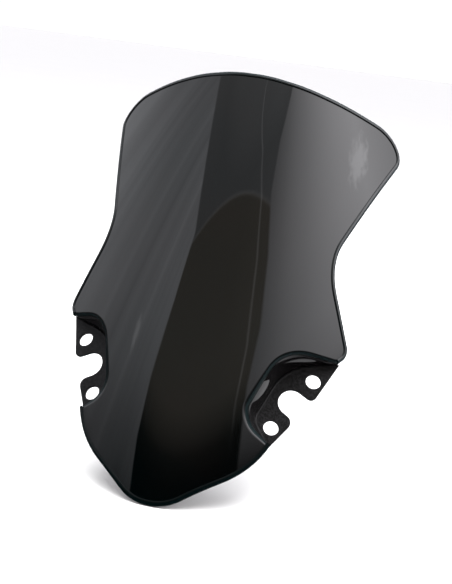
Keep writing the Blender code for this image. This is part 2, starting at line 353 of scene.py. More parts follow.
def panel_boundary():
    """The panel's edge, anticlockwise from the front, and the width of its front round at each point.

    It runs along the nose, the right recess, the top and the left recess."""
    edge_inset = BEAD_BACK_WALL + GAP
    right_arch = arch_path()[1:-1][::-1]
    left_arch = right_arch[::-1] * (-1.0, 1.0)
    lower = inset_plan(lower_outline(), edge_inset)
    upper = inset_plan(upper_outline(), edge_inset)
    recess_widths = recess_round(len(right_arch))
    widths = np.concatenate([np.full(len(lower), FRONT_ROUND_IN), recess_widths,
                             np.full(len(upper), FRONT_ROUND_IN), recess_widths[::-1]])
    return np.vstack([lower, right_arch, upper, left_arch]), widths


def surface_grid(outline, widths):
    """Points spread evenly over the curved surface, clear of the round at its edge."""
    fine_x = np.linspace(0.0, outline[:, 0].max(), FINE_SECTION)
    fine_y = surface_points(np.column_stack([fine_x, np.zeros(len(fine_x))]))[:, 1]
    along = np.concatenate([[0.0], np.cumsum(np.hypot(np.diff(fine_x), np.diff(fine_y)))])
    half = np.interp(np.arange(GRID_STEP, along[-1], GRID_STEP), along, fine_x)
    columns = np.concatenate([-half[::-1], [0.0], half])
    rows = np.arange(outline[:, 1].min(), outline[:, 1].max(), GRID_STEP)
    grid = np.array([(x, z) for z in rows for x in columns])
    grid = grid[inside_outline(grid, outline)]
    distances, nearest = nearest_on_edge(grid, outline)
    kept = distances >= widths[nearest] + GRID_MARGIN
    return grid[kept]


def panel_rows(boundary, widths):
    """Points over the panel's front, ring by ring from its edge, then spread over its face.

    The rows are the (x, z) of each point, how far down the round it lies (1 at the edge, 0 on the face),
    how far its normal leans out, the way out from the edge, and its weight in the edge zone."""
    _, inward, _ = edge_frames(boundary, True)
    rings = [(boundary, 1.0, 1.0, -inward, 1.0)]
    for step, (share_in, share_down) in enumerate(round_section(ROUND_STEPS)[1:], start=1):
        ring = inset_plan(boundary, (widths * share_in)[:, None], closed=True)
        distances, _ = nearest_on_edge(ring, boundary)
        kept = inside_outline(ring, boundary) & (distances >= RING_TOLERANCE * widths * share_in)
        edge_weight = 1.0 if step < ROUND_STEPS else 0.0
        rings.append((ring[kept], share_down, 1.0 - share_in, -inward[kept], edge_weight))
    grid = surface_grid(boundary, widths)
    rings.append((grid, 0.0, 0.0, np.zeros((len(grid), 3)), 0.0))
    plans, drops, leans, ways_out, weights = zip(*rings)
    counts = [len(plan) for plan in plans]
    drop, lean, weight = (np.repeat(values, counts) for values in (drops, leans, weights))
    return np.vstack(plans), drop, lean, np.vstack(ways_out), weight


def build_panel():
    """The curved sheet, with a round on the front of its edge that widens along the recesses."""
    boundary, widths = panel_boundary()
    plan, drop, lean, way_out, edge_weight = panel_rows(boundary, widths)
    drop = drop[:, None]
    lean = lean[:, None]
    surface = surface_points(plan)
    normal = surface_normals(plan)
    front = surface - FRONT_ROUND_DOWN * drop * normal
    rear = surface - (SHEET - REAR_ROUND * drop) * normal
    front_normals = unit_rows(np.sqrt(1.0 - lean ** 2) * normal + lean * way_out)
    count = len(plan)
    triangles = fill_region(boundary, [], plan[len(boundary):])
    faces = triangles + [tuple(count + corner for corner in reversed(triangle)) for triangle in triangles]
    for index in range(len(boundary)):
        following = (index + 1) % len(boundary)
        faces.append((index, count + index, count + following, following))
    return make_piece("screen_shell", np.vstack([front, rear]), faces,
                      normals=np.vstack([front_normals, -normal]), zones=[np.tile(edge_weight, 2)])


def nearest_on_edge(plan, outline):
    """Distance from each plan point to the outline on the surface, and its nearest outline point."""
    dense = resampled(np.vstack([outline, outline[:1]]), FINER_EDGE * len(outline))
    tree = KDTree(len(dense))
    for index, place in enumerate(surface_points(dense)):
        tree.insert(place, index)
    tree.balance()
    found = [tree.find(place) for place in surface_points(plan)]
    distances = np.array([distance for _, _, distance in found])
    nearest = np.array([index // FINER_EDGE for _, index, _ in found])
    return distances, nearest


# ---- Edge beads ----

def bead_profile():
    """Section of the bead as (in from the edge, forward of the panel's front face)."""
    rear_slot = -SHEET - GAP
    rear_face = rear_slot - BEAD_RISE + GAP
    shoulder_in = BEAD_WIDTH - BEAD_CROWN_IN
    crown = round_section(BEAD_STEPS)
    profile = []
    for share_in, share_down in reversed(round_section(ROUND_STEPS)):
        profile.append((BEAD_REAR_ROUND * share_in, rear_face + BEAD_REAR_ROUND * share_down))
    for share_in, share_down in crown:
        profile.append((BEAD_CROWN_IN * share_in, BEAD_RISE - BEAD_CROWN_DOWN * share_down))
    for share_in, share_down in reversed(crown[:-1]):
        drop = (BEAD_RISE + BEAD_REST) * share_down
        profile.append((BEAD_WIDTH - shoulder_in * share_in, BEAD_RISE - drop))
    profile += [
        (BEAD_BACK_WALL, -BEAD_REST),
        (BEAD_BACK_WALL, rear_slot),
        (BEAD_WIDTH, rear_slot),
        (BEAD_WIDTH, rear_face),
    ]
    return profile


def build_bead(name, plan):
    """A channel swept along an outline, closed at both ends."""
    profile = np.array(bead_profile())
    sides = len(profile)
    places, inward, normals = edge_frames(plan, False)
    reach = profile[:, 0][None, :, None]
    forward = profile[:, 1][None, :, None]
    points = places[:, None] + reach * inward[:, None] + forward * normals[:, None]
    points = points.reshape(-1, 3)
    faces = [tuple(range(sides))]
    for station in range(len(plan) - 1):
        first = station * sides
        for side in range(sides):
            following = (side + 1) % sides
            faces.append((first + following, first + side, first + sides + side, first + sides + following))
    last = (len(plan) - 1) * sides
    faces.append(tuple(reversed(range(last, last + sides))))
    # Share in from the edge for each point: the mask that paints the bead lighter on its outer slope and
    # darker towards the panel, a painted highlight and painted shade
    crown = np.tile(profile[:, 0] / BEAD_WIDTH, len(plan))
    return make_piece(name, points, faces, masks={"bead_shade_across": crown})


# ---- Mounting ears ----

def pad_points(plan, depth=0.0):
    """Points of the right pad at an array of (h, v), behind its front face by depth."""
    plan = np.asarray(plan)
    origin = np.array(PAD_ORIGIN - depth * PAD_FORWARD)
    return origin + plan[:, :1] * np.array(PAD_OUTWARD) + plan[:, 1:] * np.array(PAD_UP)


def pad_plan(points):
    """(h, v) of points on the right pad."""
    offset = np.asarray(points) - np.array(PAD_ORIGIN)
    return np.column_stack([offset @ np.array(PAD_OUTWARD), offset @ np.array(PAD_UP)])


def turned_between(start, end, share):
    """The unit vector a share of the way round from one unit vector to another."""
    angle = start.angle(end)
    return (start * math.sin((1.0 - share) * angle) + end * math.sin(share * angle)) / math.sin(angle)


def wall_section(foot, arch, index):
    """Section of the recess wall and its flange, from the pad's front face round to its rear face.

    Each entry is (point, how far it belongs to the glossy wall)."""
    before = max(index - 1, 0)
    after = min(index + 1, len(foot) - 1)
    from_end = min(index, len(foot) - 1 - index) * EDGE_STEP
    taper = min(1.0, from_end / FILLET_TAPER)
    glue_depth = SHEET + GAP + TRIM_CLEARANCE * (1.0 - taper)
    base = Vector(pad_points(foot[index:index + 1])[0])
    arch_place = Vector(surface_points(arch[index:index + 1])[0])
    normal = Vector(surface_normals(arch[index:index + 1])[0])
    top = arch_place - glue_depth * normal
    foot_along = Vector(np.subtract(*pad_points(foot[[after, before]])))
    wall_outward = foot_along.cross(top - base).normalized()
    into_recess = -wall_outward
    corner_angle = PAD_FORWARD.angle(into_recess)
    height = (top - base).length
    radius = min(FOOT_FILLET, LARGEST_FILLET * height / math.tan(0.5 * corner_angle))
    radius *= SMALLEST_FILLET + (1.0 - SMALLEST_FILLET) * taper
    centre = base + radius * (PAD_FORWARD + into_recess) / (1.0 + PAD_FORWARD.dot(into_recess))
    arch_along = Vector(np.subtract(*surface_points(arch[[after, before]])))
    rim_place = arch_place + FLANGE_WIDTH * arch_along.cross(normal).normalized()
    rim_plan = np.array([[rim_place.x, rim_place.z]])
    rim_front = Vector(surface_points(rim_plan)[0])
    rim_normal = Vector(surface_normals(rim_plan)[0])
    mitre = SHEET * (wall_outward - normal) / (1.0 - wall_outward.dot(normal))
    shares = [step / ROUND_STEPS for step in range(ROUND_STEPS + 1)]
    section = []
    for share in shares:
        section.append((centre - radius * turned_between(PAD_FORWARD, into_recess, share), share))
    wall_start = section[-1][0]
    for step in range(1, WALL_STEPS + 1):
        climb = step / WALL_STEPS
        bulge = 4.0 * WALL_BULGE * climb * (1.0 - climb) * taper
        section.append((wall_start.lerp(top, climb) + bulge * into_recess, 1.0))
    section.append((rim_front - glue_depth * rim_normal, 1.0))
    section.append((rim_front - (glue_depth + SHEET) * rim_normal, 1.0))
    section.append((top + mitre, 1.0))
    for share in reversed(shares):
        outer_round = (radius + SHEET) * turned_between(PAD_FORWARD, into_recess, share)
        section.append((centre - outer_round, share))
    return section


def pad_free_edge():
    """The pad's edge from its lower end round the notch to its upper end."""
    corners = [(PAD_TOP, 0.0), PAD_UPPER_CORNER, NOTCH_UPPER_CORNER,
               NOTCH_LOWER_CORNER, PAD_LOWER_CORNER, (PAD_BOTTOM, 0.0)]
    return even_path(corners, EDGE_STEP)[::-1]


def edge_stations(plan, inward, round_radius):
    """Rounded edge of the pad: rows of points from the front face to the rear face."""
    shares = round_section(PAD_ROUND_STEPS)
    rows = []
    for share_in, share_down in reversed(shares):
        rows.append(pad_points(plan + round_radius * share_in * inward, round_radius * share_down))
    for share_in, share_down in shares:
        rows.append(pad_points(plan + round_radius * share_in * inward, SHEET - round_radius * share_down))
    return np.stack(rows, axis=1)


def hole_plan(centre, radius):
    """A round hole's outline in the pad."""
    turns = np.linspace(0.0, math.tau, HOLE_SIDES, endpoint=False)
    return np.array(centre) + radius * np.column_stack([np.cos(turns), np.sin(turns)])


class EarMesh:
    """Points, faces and weights of one ear while it is put together."""

    def __init__(self):
        self.points = []
        self.wall = []
        self.rim = []
        self.faces = []

    def add(self, points, wall=None, rim=None):
        """Adds points and returns their numbers; wall and rim are their weights, none when left out."""
        first = len(self.points)
        self.points += [tuple(point) for point in points]
        no_weight = [0.0] * len(points)
        self.wall += wall or no_weight
        self.rim += rim or no_weight
        return list(range(first, len(self.points)))

    def strip(self, near, far):
        """Faces between two neighbouring rows of points, listed from the front round to the rear."""
        for side in range(len(near) - 1):
            self.faces.append((near[side], near[side + 1], far[side + 1], far[side]))

    def fill(self, loop, holes, turned):
        """One flat face of the pad."""
        numbers = loop + [corner for hole in holes for corner in hole]
        plans = pad_plan([self.points[corner] for corner in numbers])
        hole_plans = []
        used = len(loop)
        for hole in holes:
            hole_plans.append(plans[used:used + len(hole)])
            used += len(hole)
        for triangle in fill_region(plans[:len(loop)], hole_plans, np.zeros((0, 2))):
            face = tuple(numbers[corner] for corner in triangle)
            self.faces.append(tuple(reversed(face)) if turned else face)


def add_wall(ear):
    """The recess wall, as sections from its top end to its bottom end."""
    foot = even_path([(FOOT_TOP, 0.0), FOOT_HIGH_CORNER, FOOT_LOW_CORNER, (FOOT_BOTTOM, 0.0)], EDGE_STEP)
    arch = resampled(arch_path(), len(foot))
    walls = []
    for index in range(len(foot)):
        points, shares = zip(*wall_section(foot, arch, index))
        walls.append(ear.add(points, wall=list(shares)))
    return walls


def add_free_edge(ear, walls):
    """The pad's free edge, as sections from the wall's bottom end round the notch to its top end."""
    free = pad_free_edge()
    along = np.gradient(free, axis=0)
    inward = unit_rows(np.column_stack([-along[:, 1], along[:, 0]]))
    from_end = np.minimum(np.arange(len(free)), np.arange(len(free))[::-1]) * EDGE_STEP
    inward *= np.minimum(1.0, from_end / FILLET_TAPER)[:, None]
    stations = edge_stations(free, inward, PAD_EDGE_ROUND)
    edge = [ear.add(row, rim=[0.0] + [1.0] * (len(row) - 2) + [0.0]) for row in stations]
    backward = -np.array(PAD_FORWARD)
    depths = (stations[0] - stations[0][0]) @ backward
    ends = []
    for wall in (walls[-1], walls[0]):
        start = np.array(ear.points[wall[0]])
        between = [start + depth * backward for depth in depths[1:-1]]
        ends.append([wall[0]] + ear.add(between, rim=[1.0] * len(between)) + [wall[-1]])
    return [ends[0]] + edge + [ends[1]]


def add_hole(ear, centre):
    """A round hole's lining, as sections round it from the front face to the rear face."""
    circle = hole_plan(centre, HOLE_RADIUS)
    outward = unit_rows(circle - np.array(centre))
    rows = [ear.add(row) for row in edge_stations(circle, outward, HOLE_EDGE_ROUND)]
    for near, far in zip(rows, rows[1:] + rows[:1]):
        ear.strip(far, near)
    return rows


def build_ear(name, side):
    """Flat pad with two holes and a notch, recess wall with a fillet at its foot, and flange."""
    ear = EarMesh()
    walls = add_wall(ear)
    edge = add_free_edge(ear, walls)
    for sections in (walls, edge):
        for near, far in zip(sections, sections[1:]):
            ear.strip(near, far)
    ear.faces.append((*reversed(walls[0]), *edge[-1][1:-1]))
    ear.faces.append((*walls[-1], *reversed(edge[0][1:-1])))
    holes = [add_hole(ear, centre) for centre in (UPPER_HOLE, LOWER_HOLE)]
    for end, turned in ((0, False), (-1, True)):
        loop = [section[end] for section in walls + edge[1:-1]]
        ear.fill(loop, [[row[end] for row in rows] for rows in holes], turned=turned)
    piece = make_piece(name, ear.points, ear.faces, side=side, masks={"glossy_wall": ear.wall},
                       zones=[ear.rim, ear.wall])
    flatten = piece.modifiers.new("flat pad shading", "WEIGHTED_NORMAL")
    flatten.keep_sharp = True
    flatten.weight = FLAT_SHADING_WEIGHT
    return piece


# ---- Node graphs ----

# Sockets of a Mix node by its data type: first input, second input, result
MIX_SOCKETS = {"FLOAT": (2, 3, 0), "VECTOR": (4, 5, 1), "RGBA": (6, 7, 2)}


class NodeGraph:
    """A node tree and short ways to add its nodes."""

    def __init__(self, tree, coordinates):
        self.nodes = tree.nodes
        self.links = tree.links
        self.coords = self.nodes.new("ShaderNodeTexCoord").outputs[coordinates]

    def fill(self, socket, value):
        """Sets a socket to a number, a colour or a vector, or links it to another socket."""
        if isinstance(value, float):
            socket.default_value = value
        elif isinstance(value, tuple):
            socket.default_value = (*value, 1.0)[:len(socket.default_value)]
        else:
            self.links.new(value, socket)

    def math(self, operation, *values):
        node = self.nodes.new("ShaderNodeMath")
        node.operation = operation
        for socket, value in zip(node.inputs, values):
            self.fill(socket, value)
        return node.outputs["Value"]

    def vector(self, operation, first, second):
        """The result of a vector operation; SCALE takes a number as its second value."""
        node = self.nodes.new("ShaderNodeVectorMath")
        node.operation = operation
        self.fill(node.inputs[0], first)
        self.fill(node.inputs["Scale"] if operation == "SCALE" else node.inputs[1], second)
        return node.outputs["Value" if operation == "DOT_PRODUCT" else "Vector"]

    def mapped(self, value, band, to):
        """The value, moved from the range band to the range to and kept within it."""
        node = self.nodes.new("ShaderNodeMapRange")
        sockets = ("From Min", "From Max", "To Min", "To Max")
        for socket, limit in zip(sockets, (*band, *to)):
            node.inputs[socket].default_value = limit
        self.links.new(value, node.inputs["Value"])
        return node.outputs["Result"]

    def mixed(self, kind, factor, first, second):
        """Between two numbers, vectors or colours; kind is the Mix node's data type."""
        node = self.nodes.new("ShaderNodeMix")
        node.data_type = kind
        first_input, second_input, result = MIX_SOCKETS[kind]
        self.links.new(factor, node.inputs["Factor"])
        self.fill(node.inputs[first_input], first)
        self.fill(node.inputs[second_input], second)
        return node.outputs[result]

    def noise(self, scale, detail=4.0, roughness=0.5, stretch=None, turn=(0.0, 0.0, 0.0)):
        """A noise texture's value, over coordinates that may be stretched and turned."""
        coords = self.coords
        if stretch is not None:
            mapping = self.nodes.new("ShaderNodeMapping")
            mapping.inputs["Rotation"].default_value = turn
            mapping.inputs["Scale"].default_value = stretch
            self.links.new(coords, mapping.inputs["Vector"])
            coords = mapping.outputs["Vector"]
        texture = self.nodes.new("ShaderNodeTexNoise")
        texture.inputs["Scale"].default_value = scale
        texture.inputs["Detail"].default_value = detail
        texture.inputs["Roughness"].default_value = roughness
        self.links.new(coords, texture.inputs["Vector"])
        return texture.outputs["Fac"]


# ---- Materials ----

# Colours
SMOKE_DARK = (0.0002, 0.0009, 0.0010)
SMOKE_WARM = (0.0009, 0.0010, 0.0010)
EDGE_TEAL = (0.0022, 0.0085, 0.0095)
EDGE_DEEP = (0.0010, 0.0042, 0.0048)
# Bead colours hold painted light: each bead is lighter on its outer slope (painted highlight) and darker
# towards the panel (painted shade), and the upper bead is a lit copy and the lower bead a shaded copy of
# the one trim
LOWER_BEAD_OUTER_PAINTED_SHADE = (0.0004, 0.0034, 0.0038)
LOWER_BEAD_INNER_PAINTED_SHADE = (0.0004, 0.0016, 0.0018)
UPPER_BEAD_OUTER_PAINTED_LIT = (0.0090, 0.0165, 0.0180)
UPPER_BEAD_INNER_PAINTED_SHADE = (0.0020, 0.0034, 0.0040)
GRAIN_DARK = (0.0004, 0.0004, 0.0005)
GRAIN_LIGHT = (0.0116, 0.0113, 0.0122)
WALL_DARK = (0.0016, 0.0013, 0.0015)
FLOOR_DIM = (0.86, 0.86, 0.86)
FLOOR_BRIGHT = (0.88, 0.88, 0.88)

# How the surfaces take the light: roughness runs from the smoothest spots to the roughest
ACRYLIC_IOR = 1.49
SMOKE_ROUGHNESS = (0.020, 0.055)
SMOKE_HAZE_ROUGHNESS = (0.0, 0.030)
EDGE_ROUGHNESS = (0.30, 0.45)
BEAD_ROUGHNESS = (0.14, 0.28)
PAD_ROUGHNESS = (0.36, 0.56)
PAD_FOOT_ROUGHNESS = 0.10
WALL_ROUGHNESS = (0.05, 0.10)
FLOOR_ROUGHNESS = 0.9
EDGE_SPECULAR = 0.15
UPPER_BEAD_SPECULAR = 0.5
LOWER_BEAD_SPECULAR = 0.15
PAD_SPECULAR = 0.17

# Scales of the noise textures, per metre
SMOKE_CLOUD_SCALE = 9.0
SMOKE_WIPE_SCALE = 26.0
SMOKE_WIPE_STRETCH = (1.0, 1.0, 0.12)
SMOKE_WIPE_TURN = (0.0, math.radians(-24.0), 0.0)
SMOKE_HAZE_SCALE = 14.0
SMOKE_WAVE_SCALE = 30.0
EDGE_STREAK_SCALE = 220.0
BEAD_WEAR_SCALE = 160.0
BEAD_GRAIN_SCALE = 900.0
PAD_GRAIN_SCALE = 560.0
PAD_PATCH_SCALE = 24.0
WALL_HAZE_SCALE = 40.0
WALL_WAVE_SCALE = 60.0
FLOOR_CLOUD_SCALE = 2.0

# Bumps: (strength, height in metres)
SMOKE_WAVE = (0.04, 0.0004)
EDGE_BUMP = (0.08, 0.0002)
BEAD_BUMP = (0.08, 0.0002)
PAD_BUMP = (0.6, 0.0004)
WALL_WAVE = (0.05, 0.0004)

FULL_RANGE = (0.0, 1.0)
NOISE_RANGE = (0.35, 0.65)


class Shader(NodeGraph):
    """A material built round one Principled shader."""

    def __init__(self, name):
        self.material = bpy.data.materials.new(name)
        self.material.use_nodes = True
        super().__init__(self.material.node_tree, "Object")
        self.principled = self.nodes["Principled BSDF"]

    def mask(self, name):
        """A weight that the mesh holds for each point."""
        attribute = self.nodes.new("ShaderNodeAttribute")
        attribute.attribute_name = name
        return attribute.outputs["Fac"]

    def feed(self, **sockets):
        """Fills sockets of the Principled shader by name, with _ for a space."""
        for name, value in sockets.items():
            self.fill(self.principled.inputs[name.replace("_", " ")], value)

    def bump(self, pattern, strength, height):
        node = self.nodes.new("ShaderNodeBump")
        node.inputs["Strength"].default_value = strength
        node.inputs["Distance"].default_value = height
        self.links.new(pattern, node.inputs["Height"])
        self.links.new(node.outputs["Normal"], self.principled.inputs["Normal"])


def smoke_material():
    """Polished smoke sheet: a faint cloud of tint, wiping marks and a slight waviness."""
    shader = Shader("smoke_gloss")
    cloud = shader.mapped(shader.noise(SMOKE_CLOUD_SCALE, detail=2.0), NOISE_RANGE, FULL_RANGE)
    wipes = shader.noise(SMOKE_WIPE_SCALE, detail=5.0, stretch=SMOKE_WIPE_STRETCH, turn=SMOKE_WIPE_TURN)
    haze = shader.noise(SMOKE_HAZE_SCALE, detail=3.0)
    roughness = shader.math("ADD", shader.mapped(wipes, (0.40, 0.75), SMOKE_ROUGHNESS),
                            shader.mapped(haze, (0.45, 0.75), SMOKE_HAZE_ROUGHNESS))
    tint = shader.mixed("RGBA", cloud, SMOKE_DARK, SMOKE_WARM)
    shader.feed(Base_Color=tint, Roughness=roughness, IOR=ACRYLIC_IOR)
    shader.bump(shader.noise(SMOKE_WAVE_SCALE, detail=1.0), *SMOKE_WAVE)
    return shader.material


def edge_material():
    """Sawn and flamed edge of the sheet, where the tint shows as a deep blue-green."""
    shader = Shader("sheet_edge_teal")
    streaks = shader.noise(EDGE_STREAK_SCALE, detail=3.0)
    colour = shader.mixed("RGBA", shader.mapped(streaks, NOISE_RANGE, FULL_RANGE), EDGE_DEEP, EDGE_TEAL)
    roughness = shader.mapped(streaks, (0.3, 0.7), EDGE_ROUGHNESS)
    shader.feed(Base_Color=colour, Roughness=roughness, IOR=ACRYLIC_IOR, Specular_IOR_Level=EDGE_SPECULAR)
    shader.bump(streaks, *EDGE_BUMP)
    return shader.material


def bead_material(name, outer, inner, specular):
    """Satin bead with painted light: lighter blue-green on its outer slope as a painted highlight, deeper
    towards the panel as painted shade.
    """
    shader = Shader(name)
    # Share across the bead: it carries the painted highlight on the outer slope and the painted shade
    # towards the panel
    depth = shader.mapped(shader.mask("bead_shade_across"), (0.35, 0.75), FULL_RANGE)
    colour = shader.mixed("RGBA", depth, outer, inner)
    roughness = shader.mapped(shader.noise(BEAD_WEAR_SCALE), (0.35, 0.7), BEAD_ROUGHNESS)
    shader.feed(Base_Color=colour, Roughness=roughness, IOR=ACRYLIC_IOR, Specular_IOR_Level=specular)
    shader.bump(shader.noise(BEAD_GRAIN_SCALE, detail=2.0), *BEAD_BUMP)
    return shader.material


def pad_material():
    """Moulded pad of an ear: fine dark grain, going smooth on the fillet at its foot."""
    shader = Shader("ear_grain")
    grain = shader.noise(PAD_GRAIN_SCALE, detail=3.0, roughness=0.6)
    patches = shader.mapped(shader.noise(PAD_PATCH_SCALE, detail=2.0), NOISE_RANGE, (-0.30, 0.05))
    speckle = shader.math("ADD", shader.mapped(grain, (0.42, 0.58), FULL_RANGE), patches)
    grained = shader.mixed("RGBA", speckle, GRAIN_DARK, GRAIN_LIGHT)
    wall = shader.mapped(shader.mask("glossy_wall"), (0.2, 0.9), FULL_RANGE)
    colour = shader.mixed("RGBA", wall, grained, WALL_DARK)
    grained_roughness = shader.mapped(grain, NOISE_RANGE, PAD_ROUGHNESS)
    roughness = shader.mixed("FLOAT", wall, grained_roughness, PAD_FOOT_ROUGHNESS)
    shader.feed(Base_Color=colour, Roughness=roughness, IOR=ACRYLIC_IOR, Specular_IOR_Level=PAD_SPECULAR)
    off_wall = shader.math("SUBTRACT", 1.0, wall)
    shader.bump(shader.math("MULTIPLY", grain, off_wall), *PAD_BUMP)
    return shader.material


def wall_material():
    """Glossy recess wall."""
    shader = Shader("recess_gloss")
    roughness = shader.mapped(shader.noise(WALL_HAZE_SCALE, detail=3.0), (0.35, 0.7), WALL_ROUGHNESS)
    shader.feed(Base_Color=WALL_DARK, Roughness=roughness, IOR=ACRYLIC_IOR)
    shader.bump(shader.noise(WALL_WAVE_SCALE, detail=2.0), *WALL_WAVE)
    return shader.material


def floor_material():
    """Matte pale paper."""
    shader = Shader("floor_paper")
    shades = shader.mixed("RGBA", shader.noise(FLOOR_CLOUD_SCALE), FLOOR_DIM, FLOOR_BRIGHT)
    shader.feed(Base_Color=shades, Roughness=FLOOR_ROUGHNESS, Specular_IOR_Level=0.0)
    return shader.material


# ---- Studio ----

CAMERA_PLACE = Vector((0.3072, -1.2340, 0.4316))
CAMERA_RIGHT = Vector((0.9600, 0.2511, 0.1242))
CAMERA_UP = Vector((-0.1668, 0.1561, 0.9736))
CAMERA_LENS = 80.1
FLOOR_SIZE = 60.0
OVERHEAD_PLACE = (0.0, -0.2, 2.6)
OVERHEAD_SIZE = 3.2
OVERHEAD_WATTS = 160.0


def place_camera():
    data = bpy.data.cameras.new("camera")
    data.lens = CAMERA_LENS
    camera = bpy.data.objects.new("camera", data)
    bpy.context.scene.collection.objects.link(camera)
    right = CAMERA_RIGHT.normalized()
    back = right.cross(CAMERA_UP).normalized()
    up = back.cross(right)
    camera.matrix_world = Matrix.Translation(CAMERA_PLACE) @ Matrix((right, up, back)).transposed().to_4x4()
    bpy.context.scene.camera = camera


def lay_floor():
    half = 0.5 * FLOOR_SIZE
    low = cad_box[0][2]
    corners = [(-half, -half, low), (half, -half, low), (half, half, low), (-half, half, low)]
    mesh = bpy.data.meshes.new("floor")
    mesh.from_pydata(corners, [], [(0, 1, 2, 3)])
    mesh.materials.append(floor_material())
    floor = bpy.data.objects.new("floor", mesh)
    floor.visible_glossy = False
    bpy.context.scene.collection.objects.link(floor)


def hang_overhead_light():
    """A broad soft light over the screen, aimed at the middle of the floor and hidden from reflections."""
    data = bpy.data.lights.new("overhead_soft", "AREA")
    data.shape = "SQUARE"
    data.size = OVERHEAD_SIZE
    data.energy = OVERHEAD_WATTS
    light = bpy.data.objects.new("overhead_soft", data)
    light.location = OVERHEAD_PLACE
    light.rotation_euler = (-Vector(OVERHEAD_PLACE)).to_track_quat("-Z", "Y").to_euler()
    light.visible_glossy = False
    bpy.context.scene.collection.objects.link(light)


# The world is mapped by azimuth, in degrees from the screen's front (0) round to its right side (90), and
# by elevation. A list of stops is (degrees, level) or, for an edge, (elevation, azimuth of the edge).
AZIMUTHS = (-180.0, 180.0)
ELEVATIONS = (-90.0, 90.0)
# Left source: a tall cloth panel that faces LEFT_FACING, with an upright inner edge and a level top edge
LEFT_EDGE = [(-90.0, -35.0), (6.0, -35.0), (13.0, -40.5), (21.0, -42.0), (33.0, -39.2), (44.0, -39.0),
             (90.0, -39.0)]
LEFT_FACING = -75.0
LEFT_TOP = 1.18
LEFT_AROUND = [(-180.0, 0.10), (-150.0, 0.12), (-135.0, 0.66), (-115.0, 0.82), (-95.0, 0.98),
               (-75.0, 1.27), (-58.0, 1.50), (-35.0, 1.55), (180.0, 1.55)]
LEFT_FALL_SLANT = 0.34
LEFT_FALL_FROM = -54.0
LEFT_UPWARD = [(-90.0, 0.02), (0.0, 0.10), (5.0, 0.20), (8.0, 0.31), (12.0, 0.42), (16.0, 0.58),
               (20.0, 0.75), (26.0, 0.91), (34.0, 1.0), (90.0, 1.0)]
LEFT_COOL = (0.94, 0.95, 1.0)
FOLD_SLANT = 0.50
FOLD_SCALE = 0.12
FOLD_ROUGHNESS = 0.62
FOLD_DEPTH = 0.13
# Front: a dim room with a level top edge, and the bright slit beside the right source
FRONT_FACING = 12.0
FRONT_TOP = 1.43
FRONT_AROUND = [(-180.0, 0.42), (-70.0, 0.42), (-40.0, 0.40), (0.0, 0.41), (30.0, 0.42), (55.0, 0.48),
                (180.0, 0.48)]
FRONT_ABOVE = 1.38
FRONT_UPWARD = [(-90.0, 0.0), (11.0, 0.0), (15.0, 0.10), (18.0, 0.50), (22.0, 0.92), (28.0, 1.0),
                (45.0, 0.95), (58.0, 1.0), (66.0, 1.25), (80.0, 1.5), (90.0, 1.5)]
FRONT_WARM = (1.06, 0.95, 0.82)
ABOVE_COOL = (0.97, 0.97, 1.0)
EDGE_LINE_WIDTH = 0.035
EDGE_LINE_LEVEL = 0.30
SLIT_AZIMUTH = [(-90.0, 48.0), (19.0, 48.0), (26.0, 51.0), (39.0, 50.2), (50.0, 46.0), (60.0, 37.0),
                (74.0, 12.0), (90.0, 12.0)]
SLIT_WIDTH = 1.1
SLIT_LEVEL = 0.60
# Right source: the key light, brighter towards the rider's side
RIGHT_EDGE = [(-90.0, 53.6), (10.0, 53.6), (20.0, 54.1), (27.0, 58.5), (37.0, 58.7), (48.0, 55.4),
              (56.0, 58.1), (63.0, 67.3), (75.0, 80.0), (90.0, 80.0)]
RIGHT_AROUND = [(-180.0, 1.0), (50.0, 1.0), (58.0, 1.15), (66.0, 1.62), (80.0, 2.75), (95.0, 4.3),
                (103.0, 4.9), (112.0, 3.4), (130.0, 1.4), (180.0, 0.5)]
RIGHT_UPWARD = [(-90.0, 0.02), (0.0, 0.05), (9.0, 0.14), (12.0, 0.42), (15.0, 0.68), (20.0, 0.84),
                (30.0, 0.96), (40.0, 1.0), (90.0, 1.0)]
RIGHT_COOL = (0.98, 0.965, 1.0)
EDGE_SOFTNESS = 0.8
TOP_SOFTNESS = 0.02
ZENITH = [(-90.0, 0.0), (76.0, 0.0), (90.0, 3.0)]
GROUND_FADE = (-6.0, 2.0)
# Small bright things in the room: (azimuth, elevation, radius in degrees, level)
GLINTS = [(101.7, 32.0, 3.1, 1.5), (-70.0, 18.2, 2.4, 0.7)]
GLINT_BREAKS = 64.0
GLINT_RAGGEDNESS = 0.4
# Dim light off the ground behind and beside the screen
GROUND_AROUND = [(-180.0, 0.40), (-150.0, 0.10), (-100.0, 0.05), (-60.0, 0.02), (-30.0, 0.0), (40.0, 0.0),
                 (75.0, 0.10), (105.0, 0.20), (120.0, 0.85), (143.0, 1.00), (158.0, 0.30), (180.0, 0.30)]
GROUND_UPWARD = [(-90.0, 1.0), (-14.0, 1.0), (0.0, 0.0), (90.0, 0.0)]
CAMERA_WHITE = (1.05, 1.05, 1.05)


